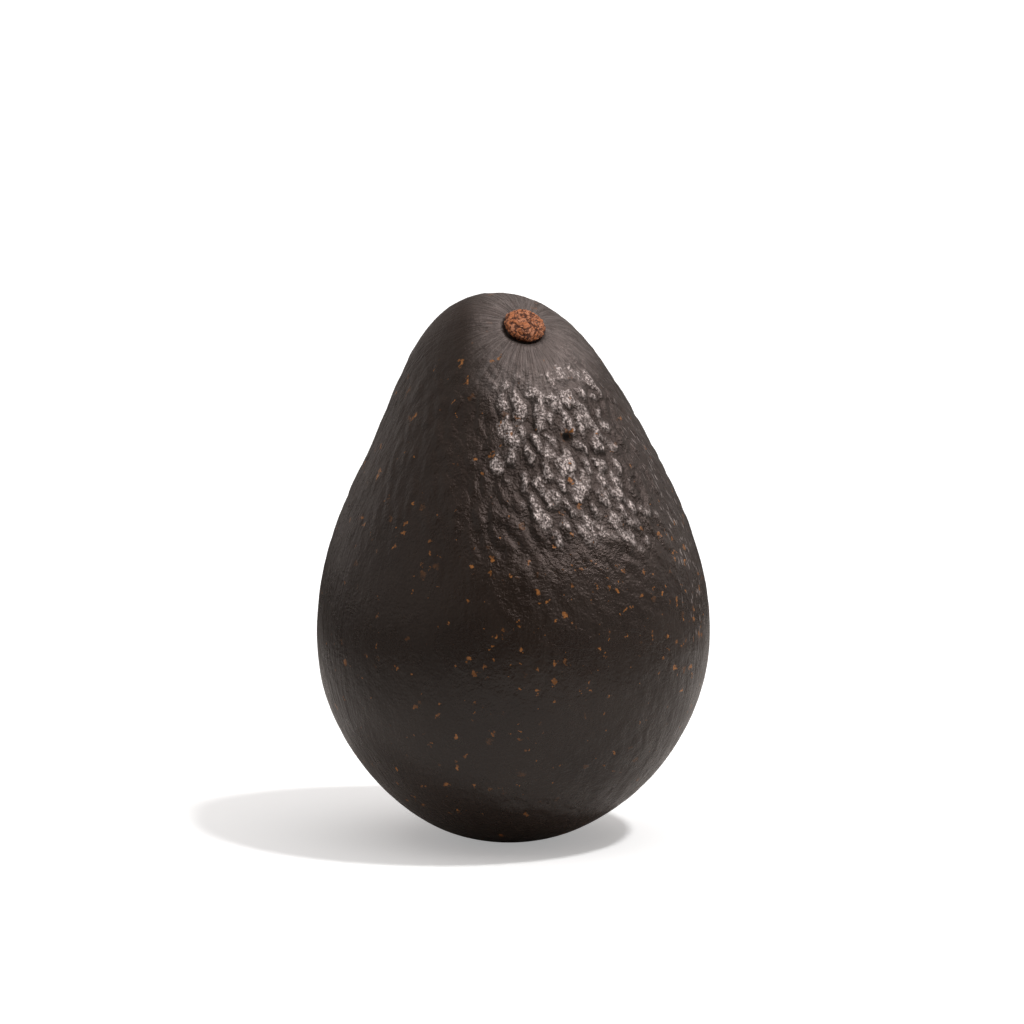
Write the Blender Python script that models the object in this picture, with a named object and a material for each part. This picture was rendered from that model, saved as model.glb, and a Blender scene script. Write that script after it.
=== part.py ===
"""A whole ripe avocado with dark pebbled skin, standing on its blossom end.

Two pieces: the fruit, which grew as one body, and the dry stem button that sits in its pit in the skin.
The frame has +Z up and the front at -Y. Its origin is in the middle of the small flat spot that the fruit
stands on.
"""

import math
import random

import bmesh
import bpy
import numpy as np
from mathutils import Matrix, Vector, noise

MM = 0.001

# The outline. The polar angle runs from 0 at the crown to pi at the blossom end, and each list of waves
# holds the factors of cos(0), cos(angle), cos(2 angle) and so on.
LENGTH = 100.6 * MM
RADIUS_WAVES = [33.8 * MM, -7.2 * MM, 0.1 * MM, 1.5 * MM, 0.8 * MM]
SIDE_WAVES = [-0.1 * MM, -1.0 * MM, -1.0 * MM, -0.2 * MM, -0.1 * MM]
LEAN_WAVES = [0.3 * MM, 0.6 * MM, 0.3 * MM]
DEPTH_SHARE = 0.97

# The flat spot on the blossom end
FOOT_DEPTH = 0.75 * MM
FOOT_FADE = (8.0 * MM, 17.0 * MM)

# Soft hollows: a direction to the middle, a width and a depth each
BUTTON_DIRECTION = Vector((0.162, -0.403, 0.901)).normalized()
HOLLOWS = [
    (BUTTON_DIRECTION, 7.0 * MM, 0.45 * MM),
    (Vector((-0.88, -0.10, 0.46)).normalized(), 10.0 * MM, 0.55 * MM),
]

# Slow lumps over the whole fruit
LUMP_SIZE = 19.0 * MM
LUMP_HEIGHT = 0.35 * MM
LUMP_SHIFT = Vector((9.6, 2.5, 4.6))

# The pebbled skin: a net of cells with a raised top each and valleys between. They are strongest from the
# neck to the belly, lower towards the foot, and the skin round the button and the foot is smooth.
PEBBLES = 740
PEBBLE_SEED = 7
PEBBLE_SHAKE = 0.22
PEBBLE_TOP_SHARE = 0.55
PEBBLE_RISE = 0.30 * MM
PEBBLE_SINK = 0.22 * MM
PEBBLE_LEAST = 0.2
COLLAR_FADE = (7.0 * MM, 17.0 * MM)
FOOT_PEBBLES_FADE = (10.0 * MM, 30.0 * MM)

# The stem button and its pit. Heights are measured along the button's axis from the skin.
BUTTON_SIDES = 30
BUTTON_PROFILE = [
    (0.0, -1.10 * MM),
    (2.9 * MM, -1.10 * MM),
    (3.2 * MM, -0.30 * MM),
    (3.8 * MM, 0.20 * MM),
    (4.0 * MM, 0.60 * MM),
    (3.8 * MM, 1.05 * MM),
    (3.2 * MM, 1.50 * MM),
    (2.2 * MM, 1.85 * MM),
    (1.1 * MM, 2.00 * MM),
    (0.0, 2.05 * MM),
]
BUTTON_NARROW = 0.92
BUTTON_TURN = math.radians(-35.0)
BUTTON_GRAIN_SIZE = 1.3 * MM
BUTTON_GRAIN_HEIGHT = 0.12 * MM
PIT_RADIUS = 3.6 * MM
PIT_DEPTH = 1.45 * MM
PIT_SIDES = 36
PIT_CUTTER_ABOVE = 3.0 * MM

SMOOTH_ANGLE = math.radians(75.0)
SKIN_COLOUR = (0.028, 0.020, 0.016)
SKIN_ROUGHNESS = 0.38
BUTTON_COLOUR = (0.36, 0.13, 0.055)
BUTTON_ROUGHNESS = 0.75


def clear_scene():
    for obj in list(bpy.data.objects):
        bpy.data.objects.remove(obj)


def smoothstep(low, high, value):
    share = np.clip((value - low) / (high - low), 0.0, 1.0)
    return share * share * (3.0 - 2.0 * share)


def waves(factors, angle):
    return sum(factor * np.cos(order * angle) for order, factor in enumerate(factors))


def even_body(directions):
    """Points of the fruit's even body for unit directions, given as an array of n rows."""
    x, y, z = directions.T
    angle = np.arccos(np.clip(z, -1.0, 1.0))
    radius = waves(RADIUS_WAVES, angle)
    foot_x = waves(SIDE_WAVES, math.pi)
    foot_y = waves(LEAN_WAVES, math.pi)
    points = np.empty_like(directions)
    points[:, 0] = x * radius + waves(SIDE_WAVES, angle) - foot_x
    points[:, 1] = y * radius * DEPTH_SHARE + waves(LEAN_WAVES, angle) - foot_y
    points[:, 2] = LENGTH / 2 * (1.0 + z) - FOOT_DEPTH
    return points


def body_point(direction):
    return Vector(even_body(np.array([direction]))[0])


def body_normal(direction):
    """The even body's outward normal at a unit direction, from two short steps over the surface."""
    step = 1e-4
    side = direction.orthogonal().normalized()
    other = direction.cross(side)
    here = body_point(direction)
    along_side = body_point((direction + side * step).normalized()) - here
    along_other = body_point((direction + other * step).normalized()) - here
    return along_side.cross(along_other).normalized()


def distance_from(points, place):
    return np.linalg.norm(points - np.array(place), axis=1)


def slow_relief(points):
    """How far the body stands out of its even form: soft hollows and slow lumps. It fades out at the foot."""
    relief = np.zeros(len(points))
    for direction, width, depth in HOLLOWS:
        away = distance_from(points, body_point(direction))
        relief -= depth * np.exp(-((away / width) ** 2))
    lumps = [noise.noise(Vector(point) / LUMP_SIZE + LUMP_SHIFT) for point in points]
    relief += LUMP_HEIGHT * np.array(lumps)
    return relief * foot_fade(points)


def foot_fade(points):
    """0 on the flat spot, 1 past the smooth skin round it."""
    return smoothstep(*FOOT_FADE, distance_from(points, (0.0, 0.0, 0.0)))


def pebble_strength(points):
    """0 where the skin is smooth, round the button and the foot, and 1 where it is fully pebbled."""
    collar = smoothstep(*COLLAR_FADE, distance_from(points, body_point(BUTTON_DIRECTION)))
    return collar * smoothstep(*FOOT_PEBBLES_FADE, distance_from(points, (0.0, 0.0, 0.0)))


def pebble_directions():
    """Unit directions to the pebbles' middles: an even golden-angle spiral, shaken by a seeded draw."""
    draw = random.Random(PEBBLE_SEED)
    golden_turn = math.pi * (3.0 - math.sqrt(5.0))
    shake = PEBBLE_SHAKE * math.sqrt(4.0 * math.pi / PEBBLES)
    directions = []
    for index in range(PEBBLES):
        height = 1.0 - 2.0 * (index + 0.5) / PEBBLES
        radius = math.sqrt(1.0 - height * height)
        turn = golden_turn * index
        middle = Vector((radius * math.cos(turn), radius * math.sin(turn), height))
        moved = Vector((draw.uniform(-1, 1), draw.uniform(-1, 1), draw.uniform(-1, 1)))
        directions.append((middle + moved * shake).normalized())
    return directions


def sphere_of_cells():
    """A unit sphere parted into one cell round each pebble's middle.

    The hull of the middles is a net of triangles. Each gets a point in its middle, and every edge of the net
    is turned to join two of those points, so that the faces round a pebble's middle make its cell.
    """
    bm = bmesh.new()
    middles = [bm.verts.new(direction) for direction in pebble_directions()]
    bmesh.ops.convex_hull(bm, input=bm.verts)
    net = bm.edges[:]
    bmesh.ops.poke(bm, faces=bm.faces[:])
    bmesh.ops.rotate_edges(bm, edges=net)
    bmesh.ops.dissolve_verts(bm, verts=middles)
    for vert in bm.verts:
        vert.co.normalize()
    bmesh.ops.recalc_face_normals(bm, faces=bm.faces)
    return bm


def raise_pebbles(bm):
    """Gives each cell of the pebbled skin a smaller raised top, and sinks the valleys between them."""
    cells = bm.faces[:]
    middles = np.array([face.calc_center_median() for face in cells])
    strengths = pebble_strength(middles)
    valleys = bm.verts[:]
    sinks = PEBBLE_SINK * pebble_strength(coordinates(bm))
    outward = [vert.normal.copy() for vert in valleys]
    pebbles = [(face, level) for face, level in zip(cells, strengths) if level > PEBBLE_LEAST]
    bmesh.ops.inset_individual(bm, faces=[face for face, level in pebbles], thickness=0.0)
    for face, level in pebbles:
        middle = face.calc_center_median()
        lift = face.normal * (PEBBLE_RISE * float(level))
        for vert in face.verts:
            vert.co = middle.lerp(vert.co, PEBBLE_TOP_SHARE) + lift
    for vert, normal, sink in zip(valleys, outward, sinks):
        vert.co -= normal * float(sink)
    bmesh.ops.triangulate(bm, faces=bm.faces[:])


def coordinates(bm):
    return np.array([vert.co for vert in bm.verts])


def place(bm, points):
    for vert, point in zip(bm.verts, points):
        vert.co = point
    bm.normal_update()


def raise_along_normals(bm, heights):
    for vert, height in zip(bm.verts, heights):
        vert.co += vert.normal * float(height)
    bm.normal_update()


def material(name, colour, roughness):
    made = bpy.data.materials.new(name)
    made.use_nodes = True
    shader = made.node_tree.nodes["Principled BSDF"]
    shader.inputs["Base Color"].default_value = (*colour, 1.0)
    shader.inputs["Roughness"].default_value = roughness
    shader.inputs["Metallic"].default_value = 0.0
    return made


def add_object(name, bm, finish=None):
    mesh = bpy.data.meshes.new(name)
    bm.to_mesh(mesh)
    bm.free()
    mesh.shade_smooth()
    mesh.set_sharp_from_angle(angle=SMOOTH_ANGLE)
    obj = bpy.data.objects.new(name, mesh)
    bpy.context.scene.collection.objects.link(obj)
    if finish is not None:
        mesh.materials.append(finish)
    return obj


def button_frame():
    """Stands the button on the skin: its own +Z points out of the fruit, and its long side is turned."""
    seat = body_point(BUTTON_DIRECTION)
    outward = body_normal(BUTTON_DIRECTION)
    relief = float(slow_relief(np.array([seat]))[0])
    upright = outward.to_track_quat("Z", "Y").to_matrix().to_4x4()
    turned = Matrix.Rotation(BUTTON_TURN, 4, "Z")
    return Matrix.Translation(seat + outward * relief) @ upright @ turned


def cut_foot(bm):
    """Slices off the lowest skin at the ground, and closes the cut with one flat face."""
    cut = bmesh.ops.bisect_plane(
        bm,
        geom=bm.verts[:] + bm.edges[:] + bm.faces[:],
        dist=1e-7,
        plane_co=(0.0, 0.0, 0.0),
        plane_no=(0.0, 0.0, 1.0),
        clear_inner=True,
    )
    rim = [edge for edge in cut["geom_cut"] if isinstance(edge, bmesh.types.BMEdge)]
    bmesh.ops.edgeloop_fill(bm, edges=rim)
    bmesh.ops.recalc_face_normals(bm, faces=bm.faces)


def build_pit_cutter():
    """A round plug that cuts the button's pit out of the skin."""
    bm = bmesh.new()
    bmesh.ops.create_cone(
        bm,
        cap_ends=True,
        segments=PIT_SIDES,
        radius1=PIT_RADIUS,
        radius2=PIT_RADIUS,
        depth=PIT_DEPTH + PIT_CUTTER_ABOVE,
    )
    middle = (PIT_CUTTER_ABOVE - PIT_DEPTH) / 2
    bmesh.ops.translate(bm, vec=(0.0, 0.0, middle), verts=bm.verts)
    cutter = add_object("pit_cutter", bm)
    cutter.matrix_world = button_frame()
    cutter.hide_render = True
    cutter.display_type = "WIRE"
    return cutter


def build_fruit(finish, pit_cutter):
    """The whole fruit: skin, flesh and stone grew as one body."""
    bm = sphere_of_cells()
    points = even_body(coordinates(bm))
    place(bm, points)
    raise_along_normals(bm, slow_relief(points))
    raise_pebbles(bm)
    cut_foot(bm)
    fruit = add_object("fruit", bm, finish)
    pit = fruit.modifiers.new("stem_pit", "BOOLEAN")
    pit.operation = "DIFFERENCE"
    pit.solver = "EXACT"
    pit.object = pit_cutter
    return fruit


def build_stem_button(finish):
    """The dry end of the stalk: a corky dome on a short root that stands in the pit."""
    bm = bmesh.new()
    rim = [bm.verts.new((radius, 0.0, height)) for radius, height in BUTTON_PROFILE]
    edges = [bm.edges.new(pair) for pair in zip(rim, rim[1:])]
    bmesh.ops.spin(
        bm,
        geom=rim + edges,
        cent=(0.0, 0.0, 0.0),
        axis=(0.0, 0.0, 1.0),
        angle=2.0 * math.pi,
        steps=BUTTON_SIDES,
        use_merge=True,
    )
    bmesh.ops.remove_doubles(bm, verts=bm.verts, dist=1e-6)
    bmesh.ops.scale(bm, vec=(1.0, BUTTON_NARROW, 1.0), verts=bm.verts)
    bmesh.ops.recalc_face_normals(bm, faces=bm.faces)
    bm.normal_update()
    grain = []
    for vert in bm.verts:
        above_skin = smoothstep(0.0, BUTTON_GRAIN_SIZE, vert.co.z)
        grain.append(BUTTON_GRAIN_HEIGHT * above_skin * noise.noise(vert.co / BUTTON_GRAIN_SIZE))
    raise_along_normals(bm, grain)
    button = add_object("stem_button", bm, finish)
    button.matrix_world = button_frame()
    return button


def build_avocado():
    clear_scene()
    build_fruit(material("pebbled_skin", SKIN_COLOUR, SKIN_ROUGHNESS), build_pit_cutter())
    build_stem_button(material("corky_stem", BUTTON_COLOUR, BUTTON_ROUGHNESS))
    bpy.context.view_layer.update()


build_avocado()
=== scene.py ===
"""A whole ripe avocado with dark pebbled skin and a dry stem button, in a plain white studio.

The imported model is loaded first, as a fixed frame. Each operator makes one piece, or the stage round it.
Lengths are in metres, with +Z up, the front at -Y and the origin in the middle of the fruit's flat foot.
"""

import math
import random

import bmesh
import bpy
import numpy as np
from bpy.props import FloatProperty, FloatVectorProperty, IntProperty, PointerProperty
from mathutils import Matrix, Vector, noise


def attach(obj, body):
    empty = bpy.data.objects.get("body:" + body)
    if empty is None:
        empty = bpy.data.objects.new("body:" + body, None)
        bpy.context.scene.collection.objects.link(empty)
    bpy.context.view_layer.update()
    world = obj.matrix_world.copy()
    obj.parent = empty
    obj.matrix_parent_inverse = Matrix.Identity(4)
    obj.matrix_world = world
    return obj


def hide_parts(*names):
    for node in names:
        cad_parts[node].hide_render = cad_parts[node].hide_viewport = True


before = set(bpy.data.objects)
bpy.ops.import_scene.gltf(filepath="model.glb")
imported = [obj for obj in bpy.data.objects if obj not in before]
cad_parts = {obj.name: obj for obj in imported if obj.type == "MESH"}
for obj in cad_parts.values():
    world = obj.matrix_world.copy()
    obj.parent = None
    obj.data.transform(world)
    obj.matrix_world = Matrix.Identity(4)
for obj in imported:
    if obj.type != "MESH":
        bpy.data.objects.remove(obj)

bl_info = {
    "name": "Pebbled Avocado",
    "version": (1, 0, 0),
    "blender": (4, 5, 0),
    "location": "3D View > Sidebar > Avocado",
    "description": "Makes the pebbled skin and the corky stem button of a ripe avocado, and a white studio",
    "category": "Object",
}

MM = 0.001
NOISE_PART_SHIFTS = ((9.3, 1.5, 7.9), (3.1, 14.7, 5.3), (12.6, 6.4, 18.2))

# The fruit's even form, as the solid part has it. The polar angle runs from 0 at the crown to pi at the
# blossom end, and each list of waves holds the factors of cos(0), cos(angle), cos(2 angle) and so on.
LENGTH = 100.6 * MM
RADIUS_WAVES = [33.8 * MM, -7.2 * MM, 0.1 * MM, 1.5 * MM, 0.8 * MM]
SIDE_WAVES = [-0.1 * MM, -1.0 * MM, -1.0 * MM, -0.2 * MM, -0.1 * MM]
LEAN_WAVES = [0.3 * MM, 0.6 * MM, 0.3 * MM]
DEPTH_SHARE = 0.97
FOOT_DEPTH = 0.75 * MM
FOOT_FADE = (8.0 * MM, 17.0 * MM)
BUTTON_DIRECTION = Vector((0.162, -0.403, 0.901)).normalized()
HOLLOWS = [
    (BUTTON_DIRECTION, 7.0 * MM, 0.45 * MM),
    (Vector((-0.88, -0.10, 0.46)).normalized(), 10.0 * MM, 0.55 * MM),
]
LUMP_SIZE = 19.0 * MM
LUMP_HEIGHT = 0.35 * MM
LUMP_SHIFT = (9.6, 2.5, 4.6)

# The skin's mesh: a cube with this many faces along each edge, blown up to the fruit's form
SKIN_GRID = 128

# The surface's small forms, in the mesh
UNEVEN_SHARE = 0.30
UNEVEN_SIZE = 5.0 * MM
FINE_HEIGHT = 0.07 * MM
FINE_SIZE = 1.4 * MM
LINE_HEIGHT = 0.035 * MM
WRINKLE_HEIGHT = 0.10 * MM

# The pebbles: where their net is drawn, how its lines wander and slant, and where the relief fades
PEBBLE_SEED = 58
PEBBLE_SHAKE = 0.42
PEBBLE_NEIGHBOURS = 6
PEBBLE_WANDER = 0.034
PEBBLE_WANDER_SIZE = 0.070
PEBBLE_SLANT = 0.46
PEBBLE_STRETCH = 0.68
PEBBLE_LOWEST = 0.35
PEBBLE_TILT = 12.0
PEBBLE_BLEND = 0.10
PEBBLE_PAIR_MIX = 7.0
ROWS_AT_ONCE = 4096
VALLEY_WIDTH = 0.27
VALLEY_SHALLOWEST = 0.05
COLLAR_FADE = (5.5 * MM, 14.0 * MM)
FOOT_PEBBLES_FADE = (10.0 * MM, 26.0 * MM)
BOLD_HEIGHT = (50.0 * MM, 64.0 * MM)
LEAST_BOLD = 0.24
CROWN_FADE = (82.0 * MM, 93.0 * MM)
CROWN_BOLD = 0.25
BOLD_TURN = math.radians(24.0)
BOLD_FADE = (0.70, 0.94)
SIDE_BOLD = 0.34

# Where the front half ends and the back half begins, by the direction's Y
FRONT_END = (-0.1, 0.1)
BACK_START = (0.0, 0.35)

# The painted highlight, pale on the pebbles' tops: a zone down the front of the neck, and thin pale patches
# of the same colour behind. Below its middle the zone turns by the lean, in radians, and narrows, both for
# each metre of drop.
PAINTED_HIGHLIGHT_HEIGHT = (52.5 * MM, 63.5 * MM)
PAINTED_HIGHLIGHT_COLLAR = (5.2 * MM, 11.5 * MM)
PAINTED_HIGHLIGHT_MIDDLE = 69.0 * MM
PAINTED_HIGHLIGHT_TURN = math.radians(24.5)
PAINTED_HIGHLIGHT_LEAN = math.radians(900.0)
PAINTED_HIGHLIGHT_NARROWING = 5.0
PAINTED_HIGHLIGHT_FADE = (math.cos(math.radians(38.0)), math.cos(math.radians(13.0)))
PAINTED_HIGHLIGHT_MIX = 0.35
PATCH_SIZE = 15.0 * MM
PATCH_FADE = (-0.15, 0.25)
PATCH_SHARE = 0.60
BEHIND_PALE_SHARE = 0.42
PATCH_HEIGHT = (44.0 * MM, 58.0 * MM)
# A thin painted sheen on the smooth collar, and where it ends
PAINTED_SHEEN = 0.12
PAINTED_SHEEN_COLLAR = (11.0 * MM, 19.0 * MM)
PAINTED_SHEEN_LEFT = (-9.0 * MM, -2.0 * MM)
# Painted pale streaks of reflection on the upper right side, along the skin's lines
PAINTED_STREAK_FADE = (math.cos(math.radians(50.0)), math.cos(math.radians(29.0)))
PAINTED_STREAK_HEIGHT = (30.0 * MM, 52.0 * MM)
PAINTED_STREAK_RIGHT = (0.0, 0.25)
PAINTED_STREAK_END = (-0.45, -0.02)
SIDE_LINES_FADE = (0.28, 0.62)

# Fine lines that run from the button to the foot, and the small wrinkles round the button
LINES_AROUND = 34.0
LINES_ALONG = 5.0
WRINKLES_AROUND = 7.5
WRINKLE_REACH = 5.0 * MM
WRINKLE_FADE = (3.6 * MM, 4.6 * MM, 8.0 * MM, 16.0 * MM)

# Where the flecks and the dashes lie, and how many cells of their nets hold one
FLECK_BAND = (45.0 * MM, 13.0 * MM)
FLECK_RIGHT = (-25.0 * MM, 12.0 * MM)
FLECK_PATCH_SIZE = 16.0 * MM
FLECK_CROWN = (84.0 * MM, 92.0 * MM)
FLECK_SHARES = (0.06, 0.50, 0.16)
DASH_LEFT = (-16.0 * MM, -4.0 * MM)
DASH_HEIGHT = (52.0 * MM, 66.0 * MM)
DASH_CROWN = (88.0 * MM, 97.0 * MM)
DASH_SHARES = (0.02, 0.62)
FLECK_SPACING = 1.55 * MM
DASH_SPACING = 2.6 * MM
FRECKLE_SPACING = 2.9 * MM
FRECKLE_SHARE = 0.40
FRECKLE_STRENGTH = 0.22

# A small old puncture in the skin
SCAR_DIRECTION = Vector((0.376, -0.755, 0.538)).normalized()
SCAR_RADIUS = 0.85 * MM
SCAR_DEPTH = 1.0 * MM

# The pit under the button, and the button on its place
PIT_RADIUS = 3.55 * MM
PIT_SOFTNESS = 0.45 * MM
PIT_DEPTH = 1.2 * MM
LIP_WAY = 1.2 * MM
LIP_WIDTH = 0.9 * MM
LIP_HEIGHT = 0.12 * MM
BUTTON_SCALE = 0.95
BUTTON_TURN = math.radians(-35.0)
BUTTON_NARROW = 0.92
CRACK_SIZE = 1.1 * MM
CRUST_BAND = (-0.4 * MM, 0.4 * MM)
CRUST_MIDDLE = 0.6
BUTTON_LUMP_HEIGHT = 0.16 * MM
BUTTON_LUMP_SIZE = 1.9 * MM
BUTTON_PROFILE = [
    (0.0, -1.10 * MM),
    (2.9 * MM, -1.10 * MM),
    (3.2 * MM, -0.30 * MM),
    (3.8 * MM, 0.20 * MM),
    (4.0 * MM, 0.60 * MM),
    (3.8 * MM, 1.05 * MM),
    (3.2 * MM, 1.50 * MM),
    (2.2 * MM, 1.85 * MM),
    (1.1 * MM, 2.00 * MM),
    (0.0, 2.05 * MM),
]

# The painted highlight's patterns. Those along the skin's lines have counts of waves: two for round the
# fruit, and one for the way from the button to the foot. A ramp holds its start and end, and, where given,
# its two results.
PAINTED_HIGHLIGHT_GRAIN = 0.42 * MM
PAINTED_HIGHLIGHT_RAG = 1.1 * MM
PAINTED_HIGHLIGHT_CRACKS = (31.0, 31.0, 17.0)
PAINTED_SHEEN_FOLDS = (26.0, 26.0, 7.0)
PAINTED_STREAK_WAVES = (70.0, 70.0, 22.0)
GRAIN_RAMP = (0.42, 0.61, 0.12, 1.0)
CLUMP_RAMP = (0.36, 0.60, 0.42, 1.0)
RAG_RAMP = (0.0, 0.2, 0.0, 0.6)
CRACK_RAMP = (0.0, 0.050, 0.12, 1.0)
OPEN_RAMP = (0.20, 0.88)
FOLD_RAMP = (0.38, 0.60, 0.45, 1.1)
PAINTED_STREAK_RAMP = (0.61, 0.71, 0.0, 0.62)

# The bump's lines and wrinkles, and the rusty dashes among the flecks, longer than wide and slanted
BUMP_LINES = (48.0, 48.0, 12.0)
BUMP_WRINKLES = (17.0, 17.0, 5.0)
DASH_SLANT = math.radians(32.0)
DASH_STRETCH = (1.0, 1.0, 2.1)

# The lights that show in the gloss, as directions from the fruit and sizes in metres at this distance
PANEL_DISTANCE = 1.0
SIDE_PANEL_DIRECTION = (0.816, 0.071, 0.574)
SIDE_PANEL_SIZE = (1.0, 0.7)
STRIP_TURNS = (14.0, 38.0, 62.0, 84.0)
STRIP_SHARES = (0.8, 1.0, 0.8, 0.6)
STRIP_ELEVATION = math.radians(43.0)
STRIP_SIZE = (0.045, 0.46)
OVERHEAD_EDGE = (-0.36, -0.07)
OVERHEAD_TURN = math.radians(-22.0)
OVERHEAD_SIZE = (1.8, 0.95)
UPPER_SIZE = (1.5, 0.75)
# The middle of the painted pool of light on the floor that the fruit sees
FLOOR_PAINTED_LIGHT_MIDDLE = (0.075, 0.0, 0.0)
KEY_DIRECTION = (0.49, -0.26, 1.0)
FILL_SIZE = 2.4
FILL_HEIGHT = 1.6

# How the room's light grows to the left, the right and the back, by the ray's own direction
ROOM_LEFT_RAMP = (-0.15, -0.85, 0.0)
ROOM_RIGHT_RAMP = (0.15, 0.85, 0.0)
ROOM_BACK_RAMP = (0.1, 0.8, 0.0)
ROOM_SEEN = 1.2

# The camera stands where the photograph's did: the photograph is 1024 pixels square
PICTURE_WIDTH = 1024
PIXEL_AT_FRUIT = 0.1820 * MM
FRUIT_MIDDLE = Vector((0.77 * MM, 0.0, 49.25 * MM))
FRUIT_MIDDLE_PIXEL = (513.0, 569.7)
CAMERA_DISTANCE = 900.0 * MM
CAMERA_ELEVATION = math.radians(9.0)
SENSOR_WIDTH = 36.0


def smoothstep(low, high, value):
    share = np.clip((value - low) / (high - low), 0.0, 1.0)
    return share * share * (3.0 - 2.0 * share)


def waves(factors, angle):
    return sum(factor * np.cos(order * angle) for order, factor in enumerate(factors))


def noise_at(points, size, shift=(0.0, 0.0, 0.0)):
    """Soft noise from -1 to 1 at each row of points, with waves of about that size."""
    places = (points / size + np.array(shift)).tolist()
    return np.array([noise.noise(place) for place in places])


def noise_steps_at(points, size):
    """A soft noise vector at each row of points. Blender's noise_vector isn't the same in each run."""
    parts = [noise_at(points, size, shift) for shift in NOISE_PART_SHIFTS]
    return np.stack(parts, axis=1)


def even_body(directions):
    """Points of the fruit's even body for unit directions, given as an array of n rows."""
    x, y, z = directions.T
    angle = np.arccos(np.clip(z, -1.0, 1.0))
    radius = waves(RADIUS_WAVES, angle)
    foot_x = waves(SIDE_WAVES, math.pi)
    foot_y = waves(LEAN_WAVES, math.pi)
    points = np.empty_like(directions)
    points[:, 0] = x * radius + waves(SIDE_WAVES, angle) - foot_x
    points[:, 1] = y * radius * DEPTH_SHARE + waves(LEAN_WAVES, angle) - foot_y
    points[:, 2] = LENGTH / 2 * (1.0 + z) - FOOT_DEPTH
    return points


def body_point(direction):
    return Vector(even_body(np.array([direction]))[0])


def body_normal(direction):
    """The even body's outward normal at a unit direction, from two short steps over the surface."""
    step = 1e-4
    side = direction.orthogonal().normalized()
    other = direction.cross(side)
    here = body_point(direction)
    along_side = body_point((direction + side * step).normalized()) - here
    along_other = body_point((direction + other * step).normalized()) - here
    return along_side.cross(along_other).normalized()


def distance_from(points, place):
    return np.linalg.norm(points - np.array(place), axis=1)


def foot_fade(points):
    return smoothstep(*FOOT_FADE, distance_from(points, (0.0, 0.0, 0.0)))


def slow_relief(points):
    """How far the body stands out of its even form: soft hollows and slow lumps, none at the foot."""
    relief = LUMP_HEIGHT * noise_at(points, LUMP_SIZE, LUMP_SHIFT)
    for direction, width, depth in HOLLOWS:
        away = distance_from(points, body_point(direction))
        relief -= depth * np.exp(-((away / width) ** 2))
    return relief * foot_fade(points)


def button_frame():
    """Stands the button on the skin: its own +Z points out of the fruit, and its long side is turned."""
    seat = body_point(BUTTON_DIRECTION)
    outward = body_normal(BUTTON_DIRECTION)
    relief = float(slow_relief(np.array([seat]))[0])
    upright = outward.to_track_quat("Z", "Y").to_matrix().to_4x4()
    turned = Matrix.Rotation(BUTTON_TURN, 4, "Z")
    return Matrix.Translation(seat + outward * relief) @ upright @ turned


def grown_directions(directions):
    """The same directions with their upper pole at the button, where the skin's lines start."""
    axis = np.array(BUTTON_DIRECTION.cross(Vector((0.0, 0.0, 1.0))).normalized())
    to_button = directions @ np.array(BUTTON_DIRECTION)
    turn = BUTTON_DIRECTION.angle(Vector((0.0, 0.0, 1.0))) * ((1.0 + to_button) / 2) ** 2
    cosine = np.cos(turn)[:, None]
    sine = np.sin(turn)[:, None]
    along = (directions @ axis)[:, None] * axis
    return directions * cosine + np.cross(axis, directions) * sine + along * (1.0 - cosine)


def pebble_middles(count):
    """Unit directions to the pebbles' middles: an even golden-angle spiral, shaken by a seeded draw."""
    draw = random.Random(PEBBLE_SEED)
    golden_turn = math.pi * (3.0 - math.sqrt(5.0))
    shake = PEBBLE_SHAKE * math.sqrt(4.0 * math.pi / count)
    middles = []
    for index in range(count):
        height = 1.0 - 2.0 * (index + 0.5) / count
        radius = math.sqrt(1.0 - height * height)
        turn = golden_turn * index
        middle = Vector((radius * math.cos(turn), radius * math.sin(turn), height))
        moved = Vector((draw.uniform(-1, 1), draw.uniform(-1, 1), draw.uniform(-1, 1)))
        middles.append((middle + moved * shake).normalized())
    return np.array(middles)


def slanted(directions):
    """Turns each direction about the fruit's axis by its height, so that the pebbles' rows slant."""
    x, y, z = directions.T
    turn = PEBBLE_SLANT * z
    return np.stack([x * np.cos(turn) - y * np.sin(turn), x * np.sin(turn) + y * np.cos(turn), z], axis=1)


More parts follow.
